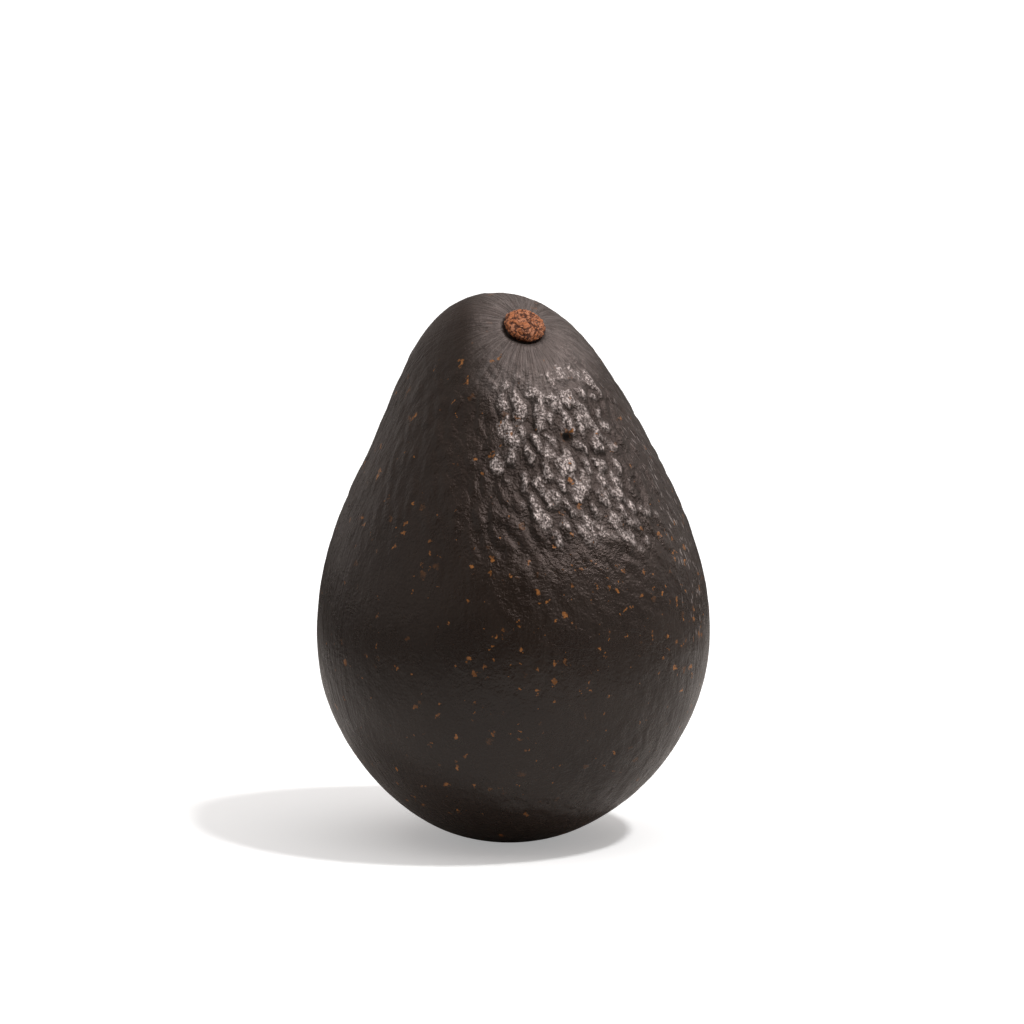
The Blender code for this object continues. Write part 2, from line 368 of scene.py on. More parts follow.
def pebble_relief(grown, count):
    """The pebbles' height, how open they are (0 in a valley, 1 on a top), and their draws from 0 to 1."""
    spacing = math.sqrt(4.0 * math.pi / count)
    stretch = np.array([1.0, 1.0, PEBBLE_STRETCH])
    middles = pebble_middles(count) * stretch
    wander = PEBBLE_WANDER * noise_steps_at(grown, PEBBLE_WANDER_SIZE)
    places = slanted(grown) + wander
    places *= stretch / np.linalg.norm(places, axis=1)[:, None]
    draw = np.random.default_rng(PEBBLE_SEED)
    draws = draw.random(count)
    heights = PEBBLE_LOWEST + (1.0 - PEBBLE_LOWEST) * draw.random(count)
    tilts = PEBBLE_TILT * draw.uniform(-1.0, 1.0, (count, 3))
    own_draws = draw.random(count)
    half_squares = 0.5 * (middles * middles).sum(axis=1)
    relief = np.empty(len(places))
    tops = np.empty(len(places))
    picks = np.empty(len(places))
    for start in range(0, len(places), ROWS_AT_ONCE):
        chunk = slice(start, start + ROWS_AT_ONCE)
        rows = places[chunk]
        closeness = rows @ middles.T - half_squares
        nearest = np.argpartition(-closeness, PEBBLE_NEIGHBOURS, axis=1)[:, : PEBBLE_NEIGHBOURS + 1]
        order = np.argsort(-np.take_along_axis(closeness, nearest, axis=1), axis=1, kind="stable")
        nearest = np.take_along_axis(nearest, order, axis=1)
        near_closeness = np.take_along_axis(closeness, nearest, axis=1)
        weights = np.exp((near_closeness - near_closeness[:, :1]) / (PEBBLE_BLEND * spacing * spacing))
        weights /= weights.sum(axis=1)[:, None]
        from_middles = rows[:, None, :] - middles[nearest]
        planes = heights[nearest] + np.einsum("ijk,ijk->ij", tilts[nearest], from_middles)
        own = middles[nearest[:, 0]]
        open_share = np.ones(len(rows))
        for column in range(1, PEBBLE_NEIGHBOURS + 1):
            other = middles[nearest[:, column]]
            apart = own - other
            gap = np.linalg.norm(apart, axis=1)
            border = np.abs(np.einsum("ij,ij->i", rows - (own + other) / 2, apart)) / gap
            pair = (draws[nearest[:, 0]] + draws[nearest[:, column]]) * PEBBLE_PAIR_MIX % 1.0
            depth = VALLEY_SHALLOWEST + (1.0 - VALLEY_SHALLOWEST) * pair
            open_share *= 1.0 - depth * np.exp(-((border / (VALLEY_WIDTH * spacing)) ** 2))
        relief[chunk] = open_share * (planes * weights).sum(axis=1)
        tops[chunk] = open_share
        picks[chunk] = (own_draws[nearest] * weights).sum(axis=1)
    return relief, tops, picks


def pebble_strength(points, directions):
    """How bold the pebbles are: most on the neck's front and back, none at the button and the foot."""
    collar = smoothstep(*COLLAR_FADE, distance_from(points, body_point(BUTTON_DIRECTION)))
    foot = smoothstep(*FOOT_PEBBLES_FADE, distance_from(points, (0.0, 0.0, 0.0)))
    bold = LEAST_BOLD + (1.0 - LEAST_BOLD) * smoothstep(*BOLD_HEIGHT, points[:, 2])
    side = SIDE_BOLD + (1.0 - SIDE_BOLD) * smoothstep(*BOLD_FADE, facing_of(directions, BOLD_TURN))
    crown = 1.0 - (1.0 - CROWN_BOLD) * smoothstep(*CROWN_FADE, points[:, 2])
    return collar * foot * bold * side * crown


def facing_of(directions, turn):
    """1 where a direction faces that way round the fruit's axis or the opposite way, and 0 between them."""
    level = directions[:, :2] / np.maximum(np.linalg.norm(directions[:, :2], axis=1), 1e-6)[:, None]
    return np.abs(level[:, 0] * np.sin(turn) - level[:, 1] * np.cos(turn))


def bloom_zone(points, directions):
    """Where pebbles carry the painted highlight: down the neck's front, leaning as the pebbles do, and thin
    pale patches behind.
    """
    drop = np.maximum(PAINTED_HIGHLIGHT_MIDDLE - points[:, 2], 0.0)
    facing = facing_of(directions, PAINTED_HIGHLIGHT_TURN + PAINTED_HIGHLIGHT_LEAN * drop) - PAINTED_HIGHLIGHT_NARROWING * drop
    front = smoothstep(*PAINTED_HIGHLIGHT_FADE, facing) * (1.0 - smoothstep(*FRONT_END, directions[:, 1]))
    collar = smoothstep(*PAINTED_HIGHLIGHT_COLLAR, distance_from(points, body_point(BUTTON_DIRECTION)))
    crown = 1.0 - smoothstep(*CROWN_FADE, points[:, 2])
    patches = smoothstep(*PATCH_FADE, noise_at(points, PATCH_SIZE, (6.0, 1.0, 3.0)))
    behind = PATCH_SHARE * patches * smoothstep(*BACK_START, directions[:, 1])
    behind *= smoothstep(*PATCH_HEIGHT, points[:, 2])
    return collar * crown * np.maximum(front * smoothstep(*PAINTED_HIGHLIGHT_HEIGHT, points[:, 2]), behind)


def collar_haze(points):
    """A thin even painted sheen on the smooth collar, with none to the left of the button."""
    away = distance_from(points, body_point(BUTTON_DIRECTION))
    collar = 1.0 - smoothstep(*PAINTED_SHEEN_COLLAR, away)
    return PAINTED_SHEEN * collar * smoothstep(*PAINTED_SHEEN_LEFT, points[:, 0])


def streak_zone(points, directions):
    """Where the skin's lines carry painted pale streaks of reflection: right of the painted highlight on the
    upper half, up to the fruit's side.
    """
    side = 1.0 - smoothstep(*PAINTED_STREAK_FADE, facing_of(directions, PAINTED_HIGHLIGHT_TURN))
    right = smoothstep(*PAINTED_STREAK_RIGHT, directions[:, 0]) * (1.0 - smoothstep(*PAINTED_STREAK_END, directions[:, 1]))
    return side * right * smoothstep(*PAINTED_STREAK_HEIGHT, points[:, 2])


def flow_of(grown):
    """Coordinates in which the skin's lines run along Z, from the button to the foot."""
    x, y, z = grown.T
    around = np.hypot(x, y)
    around[around < 1e-6] = 1.0
    return np.stack([x / around, y / around, np.arccos(np.clip(z, -1.0, 1.0))], axis=1)


def set_attribute(mesh, name, kind, values):
    attribute = mesh.attributes.new(name, kind, "POINT")
    field = "vector" if kind == "FLOAT_VECTOR" else "value"
    attribute.data.foreach_set(field, np.ascontiguousarray(values, dtype=np.float32).ravel())


def add_object(name, bm, material):
    """A piece with its place in its mesh, shaded smooth."""
    mesh = bpy.data.meshes.new(name)
    bm.to_mesh(mesh)
    bm.free()
    mesh.shade_smooth()
    mesh.materials.append(material)
    piece = bpy.data.objects.new(name, mesh)
    bpy.context.scene.collection.objects.link(piece)
    return piece


def blown_up_cube(grid):
    """A unit sphere with even square faces: a cube that is cut into a grid and blown up."""
    bm = bmesh.new()
    bmesh.ops.create_cube(bm, size=2.0)
    bmesh.ops.subdivide_edges(bm, edges=bm.edges[:], cuts=grid - 1, use_grid_fill=True)
    for vert in bm.verts:
        vert.co = Vector([math.tan(part * math.pi / 4) for part in vert.co]).normalized()
    bm.normal_update()
    return bm


def add_node(tree, kind, inputs=None, **settings):
    """A new shader node. Its inputs have names or numbers, and are values or other nodes' outputs."""
    node = tree.nodes.new(kind)
    for name, value in settings.items():
        setattr(node, name, value)
    for name, value in (inputs or {}).items():
        if isinstance(value, bpy.types.NodeSocket):
            tree.links.new(value, node.inputs[name])
        else:
            node.inputs[name].default_value = value
    return node


def vector_of(tree, operation, inputs):
    return add_node(tree, "ShaderNodeVectorMath", inputs, operation=operation).outputs[0]


def math_of(tree, operation, first, second=0.0, clamp=False):
    node = add_node(tree, "ShaderNodeMath", {0: first, 1: second}, operation=operation, use_clamp=clamp)
    return node.outputs[0]


def ramp_of(tree, value, low, high, to_low=0.0, to_high=1.0):
    """The value's share of the way from low to high, eased, as a number from to_low to to_high."""
    inputs = {"Value": value, "From Min": low, "From Max": high, "To Min": to_low, "To Max": to_high}
    return add_node(tree, "ShaderNodeMapRange", inputs, interpolation_type="SMOOTHSTEP").outputs[0]


def mix_of(tree, factor, first, second):
    inputs = {0: factor, 6: first, 7: second}
    return add_node(tree, "ShaderNodeMix", inputs, data_type="RGBA").outputs[2]


def colour(rgb):
    return (rgb[0], rgb[1], rgb[2], 1.0)


def noise_of(tree, place, scale, detail=2.0, roughness=0.5):
    inputs = {"Vector": place, "Scale": scale, "Detail": detail, "Roughness": roughness}
    return add_node(tree, "ShaderNodeTexNoise", inputs).outputs[0]


def attribute_of(tree, name, output="Fac"):
    return add_node(tree, "ShaderNodeAttribute", attribute_name=name).outputs[output]


def flow_noise(tree, counts, detail=2.0, roughness=0.5):
    """Noise along the skin's lines, with these counts of waves."""
    place = vector_of(tree, "MULTIPLY", {0: attribute_of(tree, "flow", "Vector"), 1: counts})
    return noise_of(tree, place, 1.0, detail, roughness)


def group_of(tree, build, inputs):
    """The only output of a node group with these inputs. The first call for a group builds it."""
    group = bpy.data.node_groups.get(build.__name__) or build()
    return add_node(tree, "ShaderNodeGroup", inputs, node_tree=group).outputs[0]


def new_group(name, inputs, outputs):
    """An empty node group with named sockets, its input node and its output node."""
    group = bpy.data.node_groups.new(name, "ShaderNodeTree")
    for label, kind, value in inputs:
        socket = group.interface.new_socket(label, in_out="INPUT", socket_type=kind)
        if value is not None:
            socket.default_value = value
    for label, kind in outputs:
        group.interface.new_socket(label, in_out="OUTPUT", socket_type=kind)
    return group, group.nodes.new("NodeGroupInput"), group.nodes.new("NodeGroupOutput")


def grain_group():
    """Fine dry grain in two sizes, as a height from 0 to 1."""
    inputs = [
        ("Vector", "NodeSocketVector", None),
        ("Grain size", "NodeSocketFloat", 0.4 * MM),
        ("Coarse size", "NodeSocketFloat", 1.2 * MM),
        ("Coarse share", "NodeSocketFloat", 0.4),
    ]
    group, source, target = new_group("grain_group", inputs, [("Height", "NodeSocketFloat")])
    place = source.outputs["Vector"]
    fine_scale = math_of(group, "DIVIDE", 1.0, source.outputs["Grain size"])
    coarse_scale = math_of(group, "DIVIDE", 1.0, source.outputs["Coarse size"])
    fine = noise_of(group, place, fine_scale, 2.0, 0.6)
    coarse = noise_of(group, place, coarse_scale, 1.0)
    share = source.outputs["Coarse share"]
    fine_part = math_of(group, "MULTIPLY", fine, math_of(group, "SUBTRACT", 1.0, share))
    height = math_of(group, "ADD", fine_part, math_of(group, "MULTIPLY", coarse, share))
    group.links.new(height, target.inputs["Height"])
    return group


def mottle_group():
    """Soft blotches that take a colour towards another one."""
    inputs = [
        ("Vector", "NodeSocketVector", None),
        ("Blotch size", "NodeSocketFloat", 10.0 * MM),
        ("Amount", "NodeSocketFloat", 0.5),
        ("Colour", "NodeSocketColor", (0.5, 0.5, 0.5, 1.0)),
        ("Blotch colour", "NodeSocketColor", (0.2, 0.2, 0.2, 1.0)),
    ]
    group, source, target = new_group("mottle_group", inputs, [("Colour", "NodeSocketColor")])
    scale = math_of(group, "DIVIDE", 1.0, source.outputs["Blotch size"])
    blotches = ramp_of(group, noise_of(group, source.outputs["Vector"], scale, 3.0), 0.38, 0.64)
    factor = math_of(group, "MULTIPLY", blotches, source.outputs["Amount"])
    mixed = mix_of(group, factor, source.outputs["Colour"], source.outputs["Blotch colour"])
    group.links.new(mixed, target.inputs["Colour"])
    return group


def fleck_group():
    """Small ragged flecks: a share of the cells of a net hold one, each of its own size."""
    inputs = [
        ("Vector", "NodeSocketVector", None),
        ("Spacing", "NodeSocketFloat", 4.0 * MM),
        ("Fleck size", "NodeSocketFloat", 0.5 * MM),
        ("Share", "NodeSocketFloat", 0.35),
    ]
    group, source, target = new_group("fleck_group", inputs, [("Mask", "NodeSocketFloat")])
    place = source.outputs["Vector"]
    spacing = source.outputs["Spacing"]
    ragged = add_node(group, "ShaderNodeTexNoise", {"Vector": place, "Scale": 1100.0, "Detail": 2.0})
    bent = vector_of(group, "SUBTRACT", {0: ragged.outputs["Color"], 1: (0.5, 0.5, 0.5)})
    step = vector_of(group, "SCALE", {0: bent, 3: 2.2 * MM})
    moved = vector_of(group, "ADD", {0: place, 1: step})
    scale = math_of(group, "DIVIDE", 1.0, spacing)
    net = add_node(group, "ShaderNodeTexVoronoi", {"Vector": moved, "Scale": scale})
    away = math_of(group, "MULTIPLY", net.outputs["Distance"], spacing)
    draw = add_node(group, "ShaderNodeSeparateColor", {0: net.outputs["Color"]})
    chosen = math_of(group, "LESS_THAN", draw.outputs[0], source.outputs["Share"])
    own_size = math_of(group, "ADD", math_of(group, "POWER", draw.outputs[1], 2.5), 0.36)
    size = math_of(group, "MULTIPLY", source.outputs["Fleck size"], own_size)
    inside = math_of(group, "SUBTRACT", 1.0, math_of(group, "DIVIDE", away, size), clamp=True)
    mask = math_of(group, "MULTIPLY", ramp_of(group, inside, 0.0, 0.45), chosen)
    group.links.new(mask, target.inputs["Mask"])
    return group


def mottled_of(tree, place, size, amount, main, blotch):
    parts = {"Vector": place, "Blotch size": size, "Amount": amount}
    parts.update({"Colour": colour(main), "Blotch colour": colour(blotch)})
    return group_of(tree, mottle_group, parts)


def flecks_of(tree, place, spacing, size, share):
    parts = {"Vector": place, "Spacing": spacing, "Fleck size": size, "Share": share}
    return group_of(tree, fleck_group, parts)


def bloom_of(tree, place):
    """Painted highlight: cracked pale grains on the pebbles' tops, a painted sheen on the collar, and
    painted pale streaks at the right.
    """
    painted_highlight = attribute_of(tree, "painted_highlight")
    grains = ramp_of(tree, noise_of(tree, place, 1.0 / PAINTED_HIGHLIGHT_GRAIN, 2.0, 0.6), *GRAIN_RAMP)
    clumps = noise_of(tree, place, 1.0 / PAINTED_HIGHLIGHT_RAG, 2.0)
    clumped = math_of(tree, "MULTIPLY", grains, ramp_of(tree, clumps, *CLUMP_RAMP))
    rag_share = ramp_of(tree, painted_highlight, *RAG_RAMP)
    ragged = math_of(tree, "MULTIPLY", math_of(tree, "SUBTRACT", clumps, 0.5), rag_share)
    winding = math_of(tree, "SUBTRACT", flow_noise(tree, PAINTED_HIGHLIGHT_CRACKS, 2.0, 0.6), 0.5)
    cracks = ramp_of(tree, math_of(tree, "ABSOLUTE", winding), *CRACK_RAMP)
    open_painted_highlight = ramp_of(tree, math_of(tree, "ADD", painted_highlight, ragged), *OPEN_RAMP)
    covered = math_of(tree, "MULTIPLY", open_painted_highlight, cracks)
    folds = ramp_of(tree, flow_noise(tree, PAINTED_SHEEN_FOLDS, 3.0, 0.6), *FOLD_RAMP)
    # Painted sheen on the collar, broken by the wrinkles' folds
    painted_sheen = math_of(tree, "MULTIPLY", attribute_of(tree, "painted_sheen"), folds)
    tops = math_of(tree, "MAXIMUM", math_of(tree, "MULTIPLY", covered, clumped), painted_sheen)
    # Painted streaks of reflection along the skin's lines, on the upper right side
    painted_streaks = ramp_of(tree, flow_noise(tree, PAINTED_STREAK_WAVES, 1.0), *PAINTED_STREAK_RAMP)
    sides = math_of(tree, "MULTIPLY", painted_streaks, attribute_of(tree, "painted_streaks"))
    return math_of(tree, "MAXIMUM", tops, sides)


def skin_colour_of(tree, place, settings):
    """Brown-black with soft blotches, painted shade in the valleys, a painted pale highlight, darker in the
    scar, and rusty flecks in zones.
    """
    mottled = mottled_of(tree, place, 13.0 * MM, 0.7, settings.skin_colour, settings.blotch_colour)
    tops = attribute_of(tree, "pebble")
    # Painted shade: the skin is darker in the valleys between the pebbles
    valley_shaded = mix_of(tree, ramp_of(tree, tops, 0.1, 0.8), colour(settings.valley_colour), mottled)
    # Painted highlight: the pale colour laid over the pebbles' tops, the collar and the right side's streaks
    highlight_painted = mix_of(tree, bloom_of(tree, place), valley_shaded, colour(settings.bloom_colour))
    dark_rust = [0.35 * part for part in settings.fleck_colour]
    rust = mottled_of(tree, place, 1.5 * MM, 0.8, settings.fleck_colour, dark_rust)
    flecks = flecks_of(tree, place, FLECK_SPACING, settings.fleck_size, attribute_of(tree, "fleck_zone"))
    turned = {"Vector": place, "Rotation": (0.0, DASH_SLANT, 0.0), "Scale": DASH_STRETCH}
    dash_place = add_node(tree, "ShaderNodeMapping", turned, vector_type="TEXTURE").outputs[0]
    dashes = flecks_of(tree, dash_place, DASH_SPACING, settings.fleck_size, attribute_of(tree, "dash_zone"))
    shifted = {"Vector": place, "Location": (0.3, 0.2, 0.1)}
    faint_place = add_node(tree, "ShaderNodeMapping", shifted).outputs[0]
    freckles = flecks_of(tree, faint_place, FRECKLE_SPACING, 1.3 * settings.fleck_size, FRECKLE_SHARE)
    freckled = mix_of(tree, math_of(tree, "MULTIPLY", freckles, FRECKLE_STRENGTH), highlight_painted, rust)
    dashed = mix_of(tree, dashes, freckled, rust)
    flecked = mix_of(tree, flecks, dashed, rust)
    scar = attribute_of(tree, "scar")
    rim = math_of(tree, "MULTIPLY", scar, math_of(tree, "SUBTRACT", 1.0, scar))
    breaks = ramp_of(tree, noise_of(tree, place, 700.0), 0.45, 0.65, 0.0, 3.5)
    broken_rim = math_of(tree, "MULTIPLY", rim, breaks)
    rimmed = mix_of(tree, broken_rim, flecked, rust)
    return mix_of(tree, ramp_of(tree, scar, 0.25, 0.6), rimmed, (0.003, 0.002, 0.001, 1.0))


def skin_material(settings):
    """Waxy skin: fine grain, boldest on the pebbles, and lines that run from the button to the foot."""
    material = bpy.data.materials.new("pebbled_skin")
    material.use_nodes = True
    tree = material.node_tree
    shader = tree.nodes["Principled BSDF"]
    place = add_node(tree, "ShaderNodeTexCoord").outputs["Object"]
    tree.links.new(skin_colour_of(tree, place, settings), shader.inputs["Base Color"])

    bold = attribute_of(tree, "bold")
    collar = attribute_of(tree, "collar")
    grain_parts = {"Vector": place, "Grain size": 0.5 * MM, "Coarse size": 1.1 * MM, "Coarse share": 0.45}
    grain = group_of(tree, grain_group, grain_parts)
    grain_share = math_of(tree, "ADD", math_of(tree, "MULTIPLY", bold, 0.8), 0.26)
    lines = flow_noise(tree, BUMP_LINES)
    wrinkles = flow_noise(tree, BUMP_WRINKLES, 2.0, 0.6)
    wrinkle_height = math_of(tree, "MULTIPLY", wrinkles, collar)
    grain_height = math_of(tree, "MULTIPLY", grain, grain_share)
    wrinkled_inputs = {"Height": wrinkle_height, "Distance": settings.wrinkle_height}
    wrinkled = add_node(tree, "ShaderNodeBump", wrinkled_inputs)
    line_share = math_of(tree, "ADD", math_of(tree, "MULTIPLY", attribute_of(tree, "sides"), 3.0), 0.8)
    line_relief = math_of(tree, "MULTIPLY", lines, line_share)
    lined_inputs = {"Height": line_relief, "Distance": settings.line_height, "Normal": wrinkled.outputs[0]}
    lined = add_node(tree, "ShaderNodeBump", lined_inputs)
    grained_inputs = {"Height": grain_height, "Distance": settings.grain_height, "Normal": lined.outputs[0]}
    grained = add_node(tree, "ShaderNodeBump", grained_inputs)
    tree.links.new(grained.outputs[0], shader.inputs["Normal"])

    tops = attribute_of(tree, "pebble")
    wax = ramp_of(tree, tops, 0.05, 0.45, settings.roughness + 0.17, settings.roughness)
    dull = ramp_of(tree, noise_of(tree, place, 170.0, 3.0), 0.42, 0.66, 0.0, 0.08)
    faded = math_of(tree, "MULTIPLY", math_of(tree, "SUBTRACT", 1.0, bold), 0.14)
    dry = math_of(tree, "MULTIPLY", attribute_of(tree, "scar"), 0.7)
    waxy = math_of(tree, "ADD", math_of(tree, "ADD", wax, dull), faded)
    tree.links.new(math_of(tree, "ADD", waxy, dry), shader.inputs["Roughness"])
    shader.inputs["IOR"].default_value = 1.5
    return material


def fleck_zones(points):
    """How many cells of the net hold a fleck: most in a band across the belly, fewest on the crown."""
    middle, width = FLECK_BAND
    least, in_band, in_patches = FLECK_SHARES
    band = np.exp(-(((points[:, 2] - middle) / width) ** 2))
    right = smoothstep(*FLECK_RIGHT, points[:, 0])
    patches = 0.5 + 0.5 * noise_at(points, FLECK_PATCH_SIZE, (2.0, 5.0, 8.0))
    crown = 1.0 - smoothstep(*FLECK_CROWN, points[:, 2])
    return (least + in_band * band * right + in_patches * patches) * crown


def dash_zones(points):
    """How many cells of the dashes' net hold one: most on the upper left, in front and behind."""
    least, in_zone = DASH_SHARES
    left = 1.0 - smoothstep(*DASH_LEFT, points[:, 0])
    high = smoothstep(*DASH_HEIGHT, points[:, 2]) * (1.0 - smoothstep(*DASH_CROWN, points[:, 2]))
    return least + in_zone * left * high


def pit_relief(points):
    """The pit that the button sits in: a round hole with a soft edge and a low lip."""
    away = distance_from(points, button_frame().translation)
    hole = 1.0 - smoothstep(PIT_RADIUS - PIT_SOFTNESS, PIT_RADIUS + PIT_SOFTNESS, away)
    lip = np.exp(-(((away - PIT_RADIUS - LIP_WAY) / LIP_WIDTH) ** 2))
    return -PIT_DEPTH * hole + LIP_HEIGHT * lip


def make_skin(settings):
    """The fruit's skin, with its pebbles, lines, wrinkles and the button's pit raised in the mesh."""
    bm = blown_up_cube(SKIN_GRID)
    directions = np.array([vert.co for vert in bm.verts])
    points = even_body(directions)
    for vert, point in zip(bm.verts, points):
        vert.co = point
    bm.normal_update()
    grown = grown_directions(directions)
    flow = flow_of(grown)
    heights, tops, picks = pebble_relief(grown, settings.pebble_count)
    strength = pebble_strength(points, directions)
    pebbles = settings.pebble_height * strength * (heights - 0.5)
    uneven = settings.pebble_height * UNEVEN_SHARE * strength * noise_at(points, UNEVEN_SIZE)
    fine = FINE_HEIGHT * strength * noise_at(points, FINE_SIZE, (4.0, 4.0, 4.0))
    lines_place = flow * np.array([LINES_AROUND, LINES_AROUND, LINES_ALONG])
    lines = LINE_HEIGHT * foot_fade(points) * noise_at(lines_place, 1.0)
    from_button = distance_from(points, body_point(BUTTON_DIRECTION))
    near, full, fading, gone = WRINKLE_FADE
    ring = smoothstep(near, full, from_button) * (1.0 - smoothstep(fading, gone, from_button))
    wrinkle_place = flow * np.array([WRINKLES_AROUND, WRINKLES_AROUND, 0.0])
    wrinkle_place[:, 2] = from_button / WRINKLE_REACH
    wrinkles = WRINKLE_HEIGHT * ring * noise_at(wrinkle_place, 1.0)
    scar = np.exp(-((distance_from(points, body_point(SCAR_DIRECTION)) / SCAR_RADIUS) ** 4))
    relief = slow_relief(points) + pebbles + uneven + fine + lines + wrinkles + pit_relief(points)
    relief -= SCAR_DEPTH * scar
    for vert, height in zip(bm.verts, relief):
        vert.co += vert.normal * float(height)
        vert.co.z = max(vert.co.z, 0.0)
    # The painted highlight's share on each pebble top, thinner behind, with the collar's painted sheen and
    # the painted streaks
    painted_highlight_share = bloom_zone(points, directions)
    thin = 1.0 - (1.0 - BEHIND_PALE_SHARE) * smoothstep(*FRONT_END, directions[:, 1])
    painted_highlight = thin * tops * smoothstep(picks, picks + PAINTED_HIGHLIGHT_MIX, (1.0 + PAINTED_HIGHLIGHT_MIX) * painted_highlight_share)
    skin = add_object("pebbled_skin", bm, skin_material(settings))
    values = {
        "pebble": np.clip(tops * strength + (1.0 - strength), 0.0, 1.0),
        "bold": strength,
        "collar": ring,
        "scar": scar,
        "fleck_zone": fleck_zones(points),
        "dash_zone": dash_zones(points),
        "painted_highlight": painted_highlight,
        "painted_sheen": collar_haze(points),
        "sides": 1.0 - smoothstep(*SIDE_LINES_FADE, facing_of(directions, 0.0)),
        "painted_streaks": streak_zone(points, directions),
    }
    for name, numbers in values.items():
        set_attribute(skin.data, name, "FLOAT", numbers)
    set_attribute(skin.data, "flow", "FLOAT_VECTOR", flow)
    return skin


def button_material(settings):
    """Dry cork: orange-brown crusts between dark cracks, quite matte."""
    material = bpy.data.materials.new("corky_stem")
    material.use_nodes = True
    tree = material.node_tree
    shader = tree.nodes["Principled BSDF"]
    place = add_node(tree, "ShaderNodeTexCoord").outputs["Object"]
    crust = attribute_of(tree, "crust")
    crack_colour = colour(settings.crack_colour)
    mottled = mottled_of(tree, place, 1.1 * MM, 0.7, settings.cork_colour, settings.worn_colour)
    cracked = mix_of(tree, ramp_of(tree, crust, 0.05, 0.50), crack_colour, mottled)
    winding = math_of(tree, "SUBTRACT", noise_of(tree, place, 1.0 / CRACK_SIZE, 2.0, 0.5), 0.5)
    fine_cracks = ramp_of(tree, math_of(tree, "ABSOLUTE", winding), 0.0, 0.055)
    lined = mix_of(tree, fine_cracks, crack_colour, cracked)
    tree.links.new(lined, shader.inputs["Base Color"])
    grain_parts = {"Vector": place, "Grain size": 0.25 * MM, "Coarse size": 0.6 * MM}
    grain = group_of(tree, grain_group, grain_parts)
    bump = add_node(tree, "ShaderNodeBump", {"Height": grain, "Distance": 0.05 * MM})
    tree.links.new(bump.outputs[0], shader.inputs["Normal"])
    tree.links.new(ramp_of(tree, crust, 0.0, 1.0, 0.85, 0.55), shader.inputs["Roughness"])
    return material


def crust_of(places):
    """1 on the crusts of the cork and 0 in the winding cracks between them, coarse and fine."""
    bent = places + 0.3 * MM * noise_steps_at(places, 0.9 * MM)
    coarse = smoothstep(0.0, 0.30, np.abs(noise_at(bent, 0.80 * MM)))
    fine = smoothstep(0.0, 0.35, np.abs(noise_at(bent, 0.48 * MM, (7.0, 3.0, 5.0))))
    return (0.10 + 0.90 * coarse) * (0.30 + 0.70 * fine)


def make_button(settings):
    """The corky stem button: a turned dome with cracked crusts raised on it."""
    bm = bmesh.new()
    rim = [bm.verts.new((radius, 0.0, height)) for radius, height in BUTTON_PROFILE]
    edges = [bm.edges.new(pair) for pair in zip(rim, rim[1:])]
    bmesh.ops.subdivide_edges(bm, edges=edges, cuts=7)
    off_axis = [vert for vert in bm.verts if 0.3 * MM < vert.co.x]
    bmesh.ops.smooth_vert(bm, verts=off_axis, factor=0.5, use_axis_x=True, use_axis_z=True)
    bmesh.ops.spin(
        bm,
        geom=bm.verts[:] + bm.edges[:],
        cent=(0.0, 0.0, 0.0),
        axis=(0.0, 0.0, 1.0),
        angle=2.0 * math.pi,
        steps=settings.button_sides,
        use_merge=True,
    )
    bmesh.ops.remove_doubles(bm, verts=bm.verts, dist=1e-6)
    bmesh.ops.scale(bm, vec=(BUTTON_SCALE, BUTTON_SCALE * BUTTON_NARROW, 1.0), verts=bm.verts)
    bmesh.ops.recalc_face_normals(bm, faces=bm.faces)
    bm.normal_update()
    places = np.array([vert.co for vert in bm.verts])
    crust = crust_of(places)
    above = smoothstep(*CRUST_BAND, places[:, 2])
    lumps = BUTTON_LUMP_HEIGHT * noise_at(places, BUTTON_LUMP_SIZE)
    heights = above * (lumps + settings.crust_height * (crust - CRUST_MIDDLE))
    for vert, height in zip(bm.verts, heights):
        vert.co += vert.normal * float(height)
    bmesh.ops.transform(bm, matrix=button_frame(), verts=bm.verts)
    button = add_object("stem_button_cork", bm, button_material(settings))
    set_attribute(button.data, "crust", "FLOAT", crust)
    return button


def floor_material(settings):
    """A matt white floor that glows a little. The fruit sees it darker, with painted light brightest just
    right of the foot.
    """
    material = bpy.data.materials.new("studio_floor")
    material.use_nodes = True
    tree = material.node_tree
    tree.nodes.clear()
    camera_ray = add_node(tree, "ShaderNodeLightPath").outputs["Is Camera Ray"]
    white = add_node(tree, "ShaderNodeBsdfDiffuse", {"Color": colour([settings.floor_white] * 3)})
    glow_inputs = {"Color": (1.0, 1.0, 1.0, 1.0), "Strength": settings.floor_glow}
    glow = add_node(tree, "ShaderNodeEmission", glow_inputs)
    seen = add_node(tree, "ShaderNodeAddShader", {0: white.outputs[0], 1: glow.outputs[0]})
    place = add_node(tree, "ShaderNodeTexCoord").outputs["Object"]
    ends = {0: place, 1: FLOOR_PAINTED_LIGHT_MIDDLE}
    away = add_node(tree, "ShaderNodeVectorMath", ends, operation="DISTANCE").outputs["Value"]
    # Painted light and shade on the floor that the fruit sees: brightest near a point right of the foot,
    # darker away from it
    painted_floor_light = ramp_of(tree, away, 0.06, 0.40, settings.floor_reflected, settings.floor_far)
    warm_painted_floor_light = mix_of(tree, painted_floor_light, (0.0, 0.0, 0.0, 1.0), colour(settings.floor_warmth))
    dark = add_node(tree, "ShaderNodeBsdfDiffuse", {"Color": warm_painted_floor_light})
    mixed = add_node(tree, "ShaderNodeMixShader", {0: camera_ray, 1: dark.outputs[0], 2: seen.outputs[0]})
    add_node(tree, "ShaderNodeOutputMaterial", {"Surface": mixed.outputs[0]})
    return material


def make_floor(settings):
    bm = bmesh.new()
    bmesh.ops.create_grid(bm, x_segments=4, y_segments=4, size=settings.floor_size / 2)
    bmesh.ops.translate(bm, vec=(0.0, 0.0, -0.05 * MM), verts=bm.verts)
    return add_object("studio_floor", bm, floor_material(settings))


